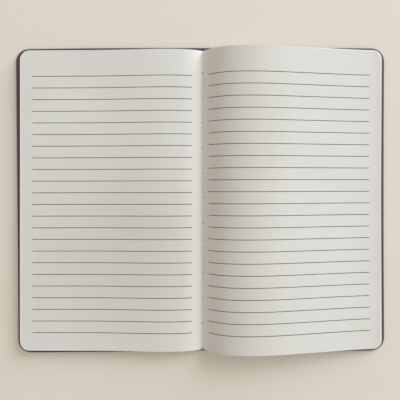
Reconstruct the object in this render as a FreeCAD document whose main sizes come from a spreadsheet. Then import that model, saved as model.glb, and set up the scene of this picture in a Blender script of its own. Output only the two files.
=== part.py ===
import FreeCAD, Part
import os
import Sketcher

V = FreeCAD.Vector

# An open notebook that lies flat on its cover. The origin is the middle of the cover's
# underside, +X runs to the right page's fore edge, +Y to the head of the pages, +Z up.

# Driving sizes in millimetres, leans in degrees: alias, value, what it is.
SIZES = [
    ("cover_reach", 126.75, "middle of the spine to a cover's fore edge"),
    ("cover_height", 210.0, "cover, foot to head"),
    ("cover_thickness", 1.6, "cover and spine strip"),
    ("cover_corner", 8.0, "round corners of the cover, in plan"),
    ("cover_rim", 0.6, "rounding along the cover's outer edges"),
    ("spine_width", 12.0, "spine strip between the two folds"),
    ("front_lean", 0.43, "turn of the front cover in its own plane, degrees"),
    ("lining_thickness", 0.2, "endpapers and the cloth on the spine"),
    ("lining_gap", 0.3, "bare strip left along each fold"),
    ("fore_square", 2.45, "cover that shows outside the bottom leaf, fore edge"),
    ("head_square", 2.75, "cover that shows outside the pages, head and foot"),
    ("page_corner", 6.0, "round corners of the pages, in plan"),
    ("fold_shift", 1.9, "gutter, to the right of the middle"),
    ("fold_floor", 1.0, "flat floor of the gutter, where the thread lies"),
    ("fold_rise", 1.2, "gutter floor above the lining"),
    ("left_stack", 4.2, "left leaves at the fore edge"),
    ("left_slant", 1.5, "top leaf set back from the bottom one, left"),
    ("left_swell_out", 10.5, "control point beside the gutter, from the gutter"),
    ("left_swell_rise", 9.3, "the same, above the lining"),
    ("left_slope_out", 60.0, "control point in the middle of the page, from the gutter"),
    ("left_slope_rise", 3.4, "the same, above the lining"),
    ("left_curl_in", 26.0, "control point near the fore edge, from the fore edge"),
    ("left_curl_rise", 4.3, "the same, above the lining"),
    ("right_stack", 3.1, "right leaves at the fore edge"),
    ("right_slant", 0.65, "top leaf set back from the bottom one, right"),
    ("right_swell_out", 11.0, "control point beside the gutter, from the gutter"),
    ("right_swell_rise", 18.9, "the same, above the lining"),
    ("right_slope_out", 63.0, "control point in the middle of the page, from the gutter"),
    ("right_slope_rise", 11.9, "the same, above the lining"),
    ("right_curl_in", 9.8, "control point near the fore edge, from the fore edge"),
    ("right_curl_rise", 2.0, "the same, above the lining"),
    ("stitch_holes", 11, "holes of the sewing along the gutter"),
    ("stitch_head_margin", 15.25, "first hole below the head of the pages"),
    ("stitch_foot_margin", 18.25, "last hole above the foot of the pages"),
    ("thread_width", 0.6, "sewing thread"),
    ("thread_play", 0.2, "room around the thread in holes and groove"),
    ("ruling_pitch", 7.9375, "from one ruled line to the next"),
    ("ruling_width", 0.45, "ruled line"),
    ("ruling_head_margin", 17.4, "first line below the head of the page"),
    ("ruling_foot_margin", 12.0, "least room left below the last line"),
    ("ruling_fore_margin", 8.2, "end of a line to the top leaf's fore edge"),
    ("left_ruling_margin", 7.7, "end of a line to the gutter, left"),
    ("right_ruling_margin", 5.7, "end of a line to the gutter, right"),
    ("ink_thickness", 0.03, "film of ink on the paper"),
    ("ink_clearance", 0.01, "the film's underside above the paper"),
]

# Sizes that follow from the driving ones.
DERIVED = [
    ("fold_line", "spine_width / 2"),
    ("panel_width", "cover_reach - spine_width / 2"),
    ("seat", "cover_thickness + lining_thickness"),
    ("bottom_reach", "cover_reach - fore_square"),
    ("page_height", "cover_height - 2 * head_square"),
    ("left_reach", "bottom_reach - left_slant"),
    ("right_reach", "bottom_reach - right_slant"),
    ("hole_width", "thread_width + 2 * thread_play"),
    ("groove_depth", "thread_width"),
    ("stitch_run", "page_height - stitch_head_margin - stitch_foot_margin"),
    ("foot_hole", "page_height / 2 - stitch_foot_margin"),
    ("ruled_height", "page_height - ruling_head_margin - ruling_foot_margin"),
    ("ruling_gaps", "floor(ruled_height / ruling_pitch)"),
    ("first_line", "page_height / 2 - ruling_head_margin"),
]


def make_sheet(doc):
    """Spreadsheet with the driving sizes and what follows from them."""
    sheet = doc.addObject("Spreadsheet::Sheet", "Sizes")
    row = 1
    for alias, value, note in SIZES:
        sheet.set("A%d" % row, note)
        sheet.set("B%d" % row, str(value))
        sheet.setAlias("B%d" % row, alias)
        row += 1
    for alias, formula in DERIVED:
        sheet.set("A%d" % row, alias.replace("_", " "))
        sheet.set("B%d" % row, "=" + formula)
        sheet.setAlias("B%d" % row, alias)
        row += 1
    doc.recompute()
    return sheet


def new_body(doc, label):
    """Empty body for one sub-part."""
    body = doc.addObject("PartDesign::Body", label)
    body.Label = label
    return body


def new_sketch(body, name, role, offset=None):
    """Sketch on one of the body's own origin planes, moved along its normal."""
    sketch = body.newObject("Sketcher::SketchObject", name)
    plane = [f for f in body.Origin.OriginFeatures if f.Role == role][0]
    sketch.AttachmentSupport = [(plane, "")]
    sketch.MapMode = "FlatFace"
    if offset is not None:
        sketch.setExpression("AttachmentOffset.Base.z", offset)
    return sketch


def bound(sketch, name, formula, *what):
    """Named constraint whose value is a formula of the sheet."""
    value = float(sketch.evalExpression(formula))
    index = sketch.addConstraint(Sketcher.Constraint(*what, value))
    sketch.renameConstraint(index, name)
    sketch.setExpression("Constraints." + name, formula)


def place_point(sketch, name, geo, pos, side, across, up):
    """Hold a point at a distance across, to the given side, and up from the origin."""
    if side < 0:
        bound(sketch, name + "_across", across, "DistanceX", geo, pos, -1, 1)
    else:
        bound(sketch, name + "_across", across, "DistanceX", -1, 1, geo, pos)
    bound(sketch, name + "_up", up, "DistanceY", -1, 1, geo, pos)


def joined_lines(sketch, points):
    """Closed run of straight lines through the points."""
    count = len(points)
    for i in range(count):
        sketch.addGeometry(Part.LineSegment(points[i], points[(i + 1) % count]), False)
    for i in range(count):
        sketch.addConstraint(Sketcher.Constraint("Coincident", i, 2, (i + 1) % count, 1))


def pad(body, sketch, name, length, both_ways=False):
    """Extrusion of a sketch."""
    feature = body.newObject("PartDesign::Pad", name)
    feature.Profile = sketch
    feature.Midplane = both_ways
    feature.setExpression("Length", length)
    return feature


def pocket_up(body, sketch, name, length):
    """Cut of a level sketch upwards into the body."""
    feature = body.newObject("PartDesign::Pocket", name)
    feature.Profile = sketch
    feature.Reversed = True
    feature.setExpression("Length", length)
    return feature


def row_along_y(body, feature, name, sketch):
    """Copies of a feature at every hole of the sewing, from foot to head."""
    pattern = body.newObject("PartDesign::LinearPattern", name)
    pattern.Originals = [feature]
    pattern.Direction = (sketch, ["V_Axis"])
    pattern.setExpression("Length", "Sizes.stitch_run")
    pattern.setExpression("Occurrences", "Sizes.stitch_holes")
    body.Tip = pattern
    return pattern


def fillet(doc, body, base, name, radius, wanted):
    """Rounding of the edges of base that wanted() accepts."""
    doc.recompute()
    edges = base.Shape.Edges
    names = ["Edge%d" % (i + 1) for i, edge in enumerate(edges) if wanted(edge)]
    feature = body.newObject("PartDesign::Fillet", name)
    feature.Base = (base, names)
    feature.setExpression("Radius", radius)
    return feature


def is_upright(edge):
    """True for an edge that climbs from a bottom face to a top face."""
    box = edge.BoundBox
    return box.ZLength > box.XLength and box.ZLength > box.YLength


def rim_test(sheet, hinge_sides):
    """Accepts the edges of a flat piece's faces that lie on no fold line."""
    def wanted(edge):
        box = edge.BoundBox
        if box.ZLength > 0.001:
            return False
        for side in hinge_sides:
            fold = side * sheet.fold_line
            if abs(box.XMin - fold) < 0.001 and abs(box.XMax - fold) < 0.001:
                return False
        return True
    return wanted


def make_cover(doc, sheet, label, side):
    """Cover panel from its fold to the fore edge. The front one lies a little askew: its
    fold stays straight and the rest of its outline leans."""
    body = new_body(doc, label)
    sketch = new_sketch(body, label + "_outline", "XY_Plane")
    fold = side * sheet.fold_line
    reach = side * sheet.cover_reach
    half = sheet.cover_height / 2
    joined_lines(sketch, [V(fold, -half, 0), V(fold, half, 0), V(reach, half, 0), V(reach, -half, 0)])
    sketch.addConstraint(Sketcher.Constraint("Symmetric", 0, 1, 0, 2, -1))
    bound(sketch, "fold_length", "Sizes.cover_height", "DistanceY", 0, 1, 0, 2)
    if side < 0:
        bound(sketch, "fold_place", "Sizes.fold_line", "DistanceX", 0, 1, -1, 1)
        bound(sketch, "lean", "Sizes.panel_width * sin(Sizes.front_lean * 1 deg)", "DistanceY", 1, 2, 1, 1)
    else:
        bound(sketch, "fold_place", "Sizes.fold_line", "DistanceX", -1, 1, 0, 1)
        sketch.addConstraint(Sketcher.Constraint("Horizontal", 1))
    bound(sketch, "panel_width", "Sizes.panel_width", "Distance", 1, 1, 1, 2)
    sketch.addConstraint(Sketcher.Constraint("Perpendicular", 1, 2))
    bound(sketch, "fore_length", "Sizes.cover_height", "Distance", 2, 1, 2, 2)
    panel = pad(body, sketch, label + "_panel", "Sizes.cover_thickness")
    middle = side * (sheet.fold_line + sheet.cover_reach) / 2

    def outer_corner(edge):
        return is_upright(edge) and (edge.BoundBox.XMin - middle) * side > 0

    corners = fillet(doc, body, panel, label + "_corners", "Sizes.cover_corner", outer_corner)
    fillet(doc, body, corners, label + "_rim", "Sizes.cover_rim", rim_test(sheet, [side]))
    return body


def make_flat_strip(doc, label, half_width, height, bottom, thickness):
    """Flat rectangle centred on the spine. Returns its body and its extrusion."""
    body = new_body(doc, label)
    sketch = new_sketch(body, label + "_outline", "XY_Plane", bottom)
    wide = float(sketch.evalExpression(half_width))
    half = float(sketch.evalExpression(height)) / 2
    joined_lines(sketch, [V(-wide, -half, 0), V(wide, -half, 0), V(wide, half, 0), V(-wide, half, 0)])
    sketch.addConstraint(Sketcher.Constraint("Horizontal", 0))
    sketch.addConstraint(Sketcher.Constraint("Vertical", 1))
    sketch.addConstraint(Sketcher.Constraint("Symmetric", 0, 1, 2, 1, -1, 1))
    sketch.addConstraint(Sketcher.Constraint("Horizontal", 2))
    sketch.addConstraint(Sketcher.Constraint("Vertical", 3))
    bound(sketch, "half_width", half_width, "DistanceX", -1, 1, 0, 2)
    bound(sketch, "height", height, "DistanceY", 1, 1, 1, 2)
    return body, pad(body, sketch, label + "_strip", thickness)


def make_endpaper(doc, sheet, label, side):
    """Leaf glued inside a cover, from the fold to under the bottom leaf's fore edge."""
    body = new_body(doc, label)
    sketch = new_sketch(body, label + "_outline", "XY_Plane", "Sizes.cover_thickness")
    inner = side * (sheet.fold_line + sheet.lining_gap)
    outer = side * sheet.bottom_reach
    half = sheet.page_height / 2
    joined_lines(sketch, [V(inner, -half, 0), V(inner, half, 0), V(outer, half, 0), V(outer, -half, 0)])
    sketch.addConstraint(Sketcher.Constraint("Symmetric", 0, 1, 0, 2, -1))
    sketch.addConstraint(Sketcher.Constraint("Horizontal", 1))
    sketch.addConstraint(Sketcher.Constraint("Vertical", 2))
    sketch.addConstraint(Sketcher.Constraint("Horizontal", 3))
    bound(sketch, "height", "Sizes.page_height", "DistanceY", 0, 1, 0, 2)
    ends = [("inner", 0, 1, "Sizes.fold_line + Sizes.lining_gap"), ("outer", 2, 1, "Sizes.bottom_reach")]
    for name, geo, pos, formula in ends:
        if side < 0:
            bound(sketch, name, formula, "DistanceX", geo, pos, -1, 1)
        else:
            bound(sketch, name, formula, "DistanceX", -1, 1, geo, pos)
    leaf = pad(body, sketch, label + "_leaf", "Sizes.lining_thickness")

    def outer_corner(edge):
        return is_upright(edge) and abs(edge.BoundBox.XMin - outer) < 0.001

    fillet(doc, body, leaf, label + "_corners", "Sizes.page_corner", outer_corner)
    return body


def is_leaf_corner(sheet):
    """Accepts the four upright edges at the fore edges of the block."""
    def wanted(edge):
        box = edge.BoundBox
        return box.YLength < 0.001 and min(abs(box.XMin), abs(box.XMax)) > sheet.bottom_reach / 2 \
            and box.ZMin < sheet.seat + 0.001 and box.ZLength > 0.001
    return wanted


def page_control(side, name):
    """Control points of the top page in section, as formulas of the distance from the middle
    and the height: from the gutter's floor over the swell beside it to the fore edge."""
    fold = "Sizes.fold_shift" if side > 0 else "-Sizes.fold_shift"
    size = "Sizes." + name
    return [
        (fold + " + Sizes.fold_floor / 2", "Sizes.seat + Sizes.fold_rise"),
        (fold + " + " + size + "_swell_out", "Sizes.seat + " + size + "_swell_rise"),
        (fold + " + " + size + "_slope_out", "Sizes.seat + " + size + "_slope_rise"),
        (size + "_reach - " + size + "_curl_in", "Sizes.seat + " + size + "_curl_rise"),
        (size + "_reach", "Sizes.seat + " + size + "_stack"),
    ]


def page_spline(poles):
    """Cubic spline with the five poles as its control points, the first and last on its ends."""
    spline = Part.BSplineCurve()
    spline.buildFromPolesMultsKnots(poles, [4, 1, 4], [0, 1, 2], False, 3)
    return spline


def page_curve(sketch, side, name):
    """Top page of one side, drawn in the sketch and held by its control points. Returns the
    curve's index."""
    control = page_control(side, name)
    poles = []
    for across, up in control:
        poles.append(V(side * float(sketch.evalExpression(across)), float(sketch.evalExpression(up)), 0))
    curve = sketch.addGeometry(page_spline(poles), False)
    first_pole = sketch.GeometryCount
    sketch.exposeInternalGeometry(curve)
    for i, (across, up) in enumerate(control):
        place_point(sketch, "%s_control_%d" % (name, i), first_pole + i, 3, side, across, up)
    return curve


def make_page_block(doc, sheet):
    """All the leaves as one solid: low on the left, arched beside the gutter on the right."""
    body = new_body(doc, "page_block")
    sketch = new_sketch(body, "page_section", "XZ_Plane")
    left = page_curve(sketch, -1, "left")
    right = page_curve(sketch, 1, "right")
    seat = sheet.seat
    reach = sheet.bottom_reach
    left_edge = V(-sheet.left_reach, seat + sheet.left_stack, 0)
    right_edge = V(sheet.right_reach, seat + sheet.right_stack, 0)
    left_foot = V(-reach, seat, 0)
    right_foot = V(reach, seat, 0)
    floor_up = seat + sheet.fold_rise
    floor_left = V(sheet.fold_shift - sheet.fold_floor / 2, floor_up, 0)
    floor_right = V(sheet.fold_shift + sheet.fold_floor / 2, floor_up, 0)
    slant_left = sketch.addGeometry(Part.LineSegment(left_edge, left_foot), False)
    base = sketch.addGeometry(Part.LineSegment(left_foot, right_foot), False)
    slant_right = sketch.addGeometry(Part.LineSegment(right_foot, right_edge), False)
    floor = sketch.addGeometry(Part.LineSegment(floor_right, floor_left), False)
    joints = [(left, 2, slant_left, 1), (slant_left, 2, base, 1), (base, 2, slant_right, 1),
              (slant_right, 2, right, 2), (right, 1, floor, 1), (floor, 2, left, 1)]
    for first, first_end, second, second_end in joints:
        sketch.addConstraint(Sketcher.Constraint("Coincident", first, first_end, second, second_end))
    place_point(sketch, "left_foot", base, 1, -1, "Sizes.bottom_reach", "Sizes.seat")
    place_point(sketch, "right_foot", base, 2, 1, "Sizes.bottom_reach", "Sizes.seat")
    block = pad(body, sketch, "page_stack", "Sizes.page_height", both_ways=True)
    corners = fillet(doc, body, block, "page_corners", "Sizes.page_corner", is_leaf_corner(sheet))

    groove_sketch = new_sketch(body, "thread_groove_outline", "XY_Plane", "Sizes.seat")
    wide = sheet.hole_width / 2
    left = sheet.fold_shift - wide
    right = sheet.fold_shift + wide
    foot = -sheet.foot_hole - wide
    head = sheet.stitch_run - sheet.foot_hole + wide
    joined_lines(groove_sketch, [V(left, foot, 0), V(right, foot, 0), V(right, head, 0), V(left, head, 0)])
    for line, way in enumerate(["Horizontal", "Vertical", "Horizontal", "Vertical"]):
        groove_sketch.addConstraint(Sketcher.Constraint(way, line))
    bound(groove_sketch, "left", "Sizes.fold_shift - Sizes.hole_width / 2", "DistanceX", -1, 1, 0, 1)
    bound(groove_sketch, "width", "Sizes.hole_width", "DistanceX", 0, 1, 0, 2)
    bound(groove_sketch, "foot", "Sizes.foot_hole + Sizes.hole_width / 2", "DistanceY", 0, 1, -1, 1)
    bound(groove_sketch, "length", "Sizes.stitch_run + Sizes.hole_width", "DistanceY", 1, 1, 1, 2)
    pocket_up(body, groove_sketch, "thread_groove", "Sizes.groove_depth")

    hole_sketch = hole_circle(body, sheet, "thread_hole_outline", "Sizes.seat", "Sizes.hole_width")
    hole = pocket_up(body, hole_sketch, "thread_hole", "Sizes.fold_rise + Sizes.hole_width")
    row_along_y(body, hole, "thread_holes", hole_sketch)
    return body


def hole_circle(body, sheet, name, bottom, width):
    """Circle at the sewing hole nearest the foot."""
    sketch = new_sketch(body, name, "XY_Plane", bottom)
    middle = V(sheet.fold_shift, -sheet.foot_hole, 0)
    sketch.addGeometry(Part.Circle(middle, V(0, 0, 1), sheet.thread_width / 2), False)
    bound(sketch, "across", "Sizes.fold_shift", "DistanceX", -1, 1, 0, 3)
    bound(sketch, "down", "Sizes.foot_hole", "DistanceY", 0, 3, -1, 1)
    bound(sketch, "width", width, "Diameter", 0)
    return sketch


def thread_section(body, sheet, name, bottom):
    """Thread in section: flat where it lies on the paper or the lining, round above."""
    sketch = new_sketch(body, name, "XZ_Plane", "Sizes.foot_hole - Sizes.stitch_run")
    middle = sheet.fold_shift
    half = sheet.thread_width / 2
    lowest = float(sketch.evalExpression(bottom))
    corner_left = V(middle - half, lowest, 0)
    corner_right = V(middle + half, lowest, 0)
    top_left = V(middle - half, lowest + half, 0)
    top_right = V(middle + half, lowest + half, 0)
    peak = V(middle, lowest + 2 * half, 0)
    base = sketch.addGeometry(Part.LineSegment(corner_left, corner_right), False)
    right = sketch.addGeometry(Part.LineSegment(corner_right, top_right), False)
    crown = sketch.addGeometry(Part.Arc(top_right, peak, top_left), False)
    left = sketch.addGeometry(Part.LineSegment(top_left, corner_left), False)
    sketch.addConstraint(Sketcher.Constraint("Horizontal", base))
    sketch.addConstraint(Sketcher.Constraint("Vertical", right))
    sketch.addConstraint(Sketcher.Constraint("Coincident", base, 2, right, 1))
    sketch.addConstraint(Sketcher.Constraint("Tangent", right, 2, crown, 1))
    sketch.addConstraint(Sketcher.Constraint("Tangent", crown, 2, left, 1))
    sketch.addConstraint(Sketcher.Constraint("Coincident", left, 2, base, 1))
    bound(sketch, "from_middle", "Sizes.fold_shift - Sizes.thread_width / 2", "DistanceX", -1, 1, base, 1)
    bound(sketch, "bottom", bottom, "DistanceY", -1, 1, base, 1)
    bound(sketch, "width", "Sizes.thread_width", "DistanceX", base, 1, base, 2)
    bound(sketch, "shoulder", "Sizes.thread_width / 2", "DistanceY", right, 1, right, 2)
    return sketch


def make_thread(doc, sheet):
    """Sewing thread: one run on the gutter's floor, one along the back, a leg in each hole."""
    body = new_body(doc, "sewing_thread")
    inner = thread_section(body, sheet, "inner_run_section", "Sizes.seat + Sizes.fold_rise")
    pad(body, inner, "inner_run", "Sizes.stitch_run")
    leg_foot = "Sizes.seat + Sizes.thread_width / 2"
    leg_sketch = hole_circle(body, sheet, "leg_outline", leg_foot, "Sizes.thread_width")
    leg = pad(body, leg_sketch, "leg", "Sizes.fold_rise")
    row_along_y(body, leg, "legs", leg_sketch)
    outer = thread_section(body, sheet, "outer_run_section", "Sizes.seat")
    pad(body, outer, "outer_run", "Sizes.stitch_run")
    return body


def parameter_at(curve, across):
    """Parameter where the curve is at a distance from the middle, found by halving."""
    low = curve.FirstParameter
    high = curve.LastParameter
    while high - low > 1e-9:
        middle = (low + high) / 2
        if abs(curve.value(middle).x) < across:
            low = middle
        else:
            high = middle
    return (low + high) / 2


def make_ruling(doc, sheet, name, side):
    """Printed lines of one page, as one group: a film of ink between the two margins, cut from
    the page's own curve and repeated from the head to the foot."""
    poles = []
    for across, up in page_control(side, name):
        poles.append(V(side * float(sheet.evalExpression(across)), 0, float(sheet.evalExpression(up))))
    curve = page_spline(poles)
    gutter_end = side * sheet.fold_shift + getattr(sheet, name + "_ruling_margin")
    fore_end = getattr(sheet, name + "_reach") - sheet.ruling_fore_margin
    curve.segment(parameter_at(curve, gutter_end), parameter_at(curve, fore_end))
    under = curve.toShape().translated(V(0, 0, sheet.ink_clearance))
    over = under.translated(V(0, 0, sheet.ink_thickness))
    ends = [Part.makeLine(under.valueAt(t), over.valueAt(t)) for t in under.ParameterRange]
    film = Part.Face(Part.Wire([under, ends[1], over, ends[0]]))
    lines = []
    for i in range(int(sheet.ruling_gaps) + 1):
        top = sheet.first_line - i * sheet.ruling_pitch + sheet.ruling_width / 2
        lines.append(film.translated(V(0, top, 0)).extrude(V(0, -sheet.ruling_width, 0)))
    ruling = doc.addObject("Part::Feature", name + "_ruling")
    ruling.Label = name + "_ruling"
    ruling.Shape = Part.makeCompound(lines)
    ruling.Placement = FreeCAD.Placement()
    return ruling


def make_book(doc, sheet):
    """Every sub-part of the notebook."""
    bodies = [make_cover(doc, sheet, "front_cover", -1), make_cover(doc, sheet, "back_cover", 1)]
    spine, strip = make_flat_strip(doc, "spine_cover", "Sizes.fold_line", "Sizes.cover_height",
                                   "0", "Sizes.cover_thickness")
    fillet(doc, spine, strip, "spine_cover_rim", "Sizes.cover_rim", rim_test(sheet, [-1, 1]))
    bodies.append(spine)
    bodies.append(make_endpaper(doc, sheet, "front_endpaper", -1))
    bodies.append(make_endpaper(doc, sheet, "back_endpaper", 1))
    lining = make_flat_strip(doc, "spine_lining", "Sizes.fold_line - Sizes.lining_gap", "Sizes.page_height",
                             "Sizes.cover_thickness", "Sizes.lining_thickness")
    bodies.append(lining[0])
    bodies.append(make_page_block(doc, sheet))
    bodies.append(make_thread(doc, sheet))
    bodies.append(make_ruling(doc, sheet, "left", -1))
    bodies.append(make_ruling(doc, sheet, "right", 1))
    doc.recompute()
    return bodies


def check(doc, sheet, bodies):
    """Stops when an object failed or a sub-part's shape is missing or wrong."""
    for item in doc.Objects:
        bad = [word for word in item.State if word in ("Invalid", "Error")]
        if bad:
            raise RuntimeError("%s is %s" % (item.Label, bad))
    for body in bodies:
        if body.Shape.isNull() or not body.Shape.isValid():
            raise RuntimeError("%s has no valid shape" % body.Label)
        wanted = sheet.ruling_gaps + 1 if body.Label.endswith("_ruling") else 1
        if len(body.Shape.Solids) != wanted:
            raise RuntimeError("%s has %d solids" % (body.Label, len(body.Shape.Solids)))


def main():
    doc = FreeCAD.newDocument("notebook")
    sheet = make_sheet(doc)
    bodies = make_book(doc, sheet)
    check(doc, sheet, bodies)
    os.makedirs("parts", exist_ok=True)
    for body in bodies:
        body.Shape.exportStep("parts/%s.step" % body.Label)
        box = body.Shape.BoundBox
        print("%s: volume %.1f, X %.2f to %.2f, Y %.2f to %.2f, Z %.2f to %.2f" % (
            body.Label, body.Shape.Volume, box.XMin, box.XMax, box.YMin, box.YMax, box.ZMin, box.ZMax))


main()
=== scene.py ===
import math

import bmesh
import bpy
import numpy as np
from bpy.props import FloatProperty, FloatVectorProperty, IntProperty, PointerProperty
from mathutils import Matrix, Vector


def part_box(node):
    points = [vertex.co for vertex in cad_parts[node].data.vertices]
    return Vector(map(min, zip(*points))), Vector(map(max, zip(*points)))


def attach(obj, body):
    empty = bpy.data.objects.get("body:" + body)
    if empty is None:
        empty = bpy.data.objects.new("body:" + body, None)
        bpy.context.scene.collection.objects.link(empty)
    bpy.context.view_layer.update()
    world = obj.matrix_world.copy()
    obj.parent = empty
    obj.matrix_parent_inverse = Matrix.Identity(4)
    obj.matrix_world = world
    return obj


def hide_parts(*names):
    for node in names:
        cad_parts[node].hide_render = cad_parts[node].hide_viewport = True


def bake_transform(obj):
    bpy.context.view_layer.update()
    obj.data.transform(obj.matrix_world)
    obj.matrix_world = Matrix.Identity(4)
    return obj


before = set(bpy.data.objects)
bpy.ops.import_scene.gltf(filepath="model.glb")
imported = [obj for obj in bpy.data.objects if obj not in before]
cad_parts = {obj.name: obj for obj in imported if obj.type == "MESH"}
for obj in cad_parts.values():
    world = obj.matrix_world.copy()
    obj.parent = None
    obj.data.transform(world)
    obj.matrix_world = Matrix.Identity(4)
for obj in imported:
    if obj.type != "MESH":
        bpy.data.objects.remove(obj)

bl_info = {
    "name": "Open lined notebook",
    "version": (1, 0, 0),
    "blender": (4, 5, 0),
    "location": "View3D > Sidebar > Notebook",
    "description": "Dresses the notebook with sewn pages, printed ruling, a grained cover and a stage",
    "category": "Object",
}

BOOK = "book"

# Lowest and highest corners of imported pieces' boxes, and places taken from them, in metres.
PAGE_LOW, PAGE_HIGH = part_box("page_block")
SPINE_LOW, SPINE_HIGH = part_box("spine_cover")
THREAD_LOW, THREAD_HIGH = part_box("sewing_thread")
PAGE_HEIGHT = PAGE_HIGH[1] - PAGE_LOW[1]
SEAT = PAGE_LOW[2]
FOLD = SPINE_HIGH[0]
COVER_HALF = SPINE_HIGH[1]
COVER_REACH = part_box("back_cover")[1][0]
LEAN_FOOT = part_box("front_cover")[0][1]

# Divisions. A grid has rows, columns and steps round a corner.
PAGE_GRID = (64, 76, 10)
COVER_GRID = (50, 70, 12)
ENDPAPER_GRID = (40, 60, 10)
CURVE_STEPS = 2400
LINE_STEPS = 110
THREAD_STEPS = 1500
TUBE_SIDES = 8
RIM_STEPS = 5
# Extra rows inside the page's head and foot edges and extra columns beside its gutter, by
# distance. Extra columns of the cover beside the fold: from, to and how many.
EDGE_ROWS = (0.0003, 0.0006, 0.0010)
GUTTER_COLUMNS = (0.0006, 0.0014, 0.0024)
FOLD_COLUMNS = (-0.003, 0.005, 13)

# Waves of the paper: share, radians per metre across and down, and start. They grow to their
# full height over a distance from the gutter.
WAVES = ((1.0, 38.0, 21.0, 0.7), (0.8, 25.0, -44.0, 2.1), (0.6, 90.0, 13.0, 4.0))
WAVE_HEIGHT = 0.00006
WAVE_START = 0.02

# Where in its thickness a leaf's edge is flat, and the seed of its offsets.
LEAF_FLAT = (0.12, 0.88)
LEAF_SEED = 12
# Painted highlight along the page's outer edges: share of the page's width where it begins, and over which
# it grows.
HIGHLIGHT_START = 0.45
HIGHLIGHT_GROWTH = 0.25

# Distance over which a crease fades at the head and foot, and how late the corners draw in.
CREASE_FADE = 0.004
CORNER_POWER = 5

# Thread: a strand from the thread's middle in strand radii, the dip at a hole, and an arch's
# rise and flatness.
STRAND_GAP = 0.85
THREAD_DIP = 0.0004
ARCH_RISE = 0.00065
ARCH_POWER = 0.35

# Edges steeper than this, in degrees, stay sharp.
PAGE_SHARP = 40
COVER_SHARP = 50

# Painted shade, a darker patch of the left page: its middle, and radii where it is full and gone.
SHADE_PATCH_PLACE = (-0.052, -0.035, 0.0)
SHADE_PATCH_REACH = (0.025, 0.085)
# Painted shade, a darker strip of the right page beside the gutter: where it fades, and the width over
# which it rises.
SHADE_STRIP_REACH = (0.016, 0.060)
SHADE_STRIP_RISE = 0.010
# Painted light, a paler strip of the left page by the gutter: where it begins and is full before the
# gutter, and its end.
GUTTER_LIGHT_REACH = (0.014, 0.002)
GUTTER_LIGHT_END = 0.003
# Radii where a hole's dot of painted shade is full and gone, and where the painted highlight of the rim
# begins and is full.
HOLE_SHADE_REACH = (0.0003, 0.0007)
RIM_HIGHLIGHT_REACH = (0.112, 0.122)

# Tones that no setting changes, linear values.
CUT_DARK = (0.540, 0.515, 0.455, 1.0)
CUT_PALE = (0.700, 0.685, 0.625, 1.0)
# Painted shade of the sewing holes.
HOLE_SHADE_TONE = (0.32, 0.29, 0.23, 1.0)
# Painted highlight on the rim of the cover's fore edges.
RIM_HIGHLIGHT_TONE = (0.140, 0.104, 0.150, 1.0)
CLOTH_DARK = (0.40, 0.38, 0.33, 1.0)
CLOTH_PALE = (0.62, 0.60, 0.54, 1.0)

# Table top: half its side and its level. Camera sensor in millimetres.
FLOOR_HALF = 3.0
FLOOR_LEVEL = -0.0002
SENSOR_WIDTH = 36.0

# Points closer than this are merged. The second keeps a division by a length off nought.
MERGE = 1e-7
TINY = 1e-12


def size(name, default, note, low=0.0):
    """Length property in metres."""
    return FloatProperty(name=name, description=note, default=default, min=low, precision=5,
                         subtype="DISTANCE", unit="LENGTH")


def signed(name, default, note):
    """Length property in metres that may be negative."""
    return size(name, default, note, low=-1.0)


def number(name, default, note, low=0.0, high=100.0):
    """Plain number property."""
    return FloatProperty(name=name, description=note, default=default, min=low, max=high)


def angle(name, degrees, note):
    """Angle property, its default given in degrees."""
    return FloatProperty(name=name, description=note, default=math.radians(degrees), subtype="ANGLE",
                         unit="ROTATION")


def tone(name, default, note):
    """Colour property, linear values."""
    return FloatVectorProperty(name=name, description=note, default=default, size=3, min=0.0, max=1.0,
                               subtype="COLOR")


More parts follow.
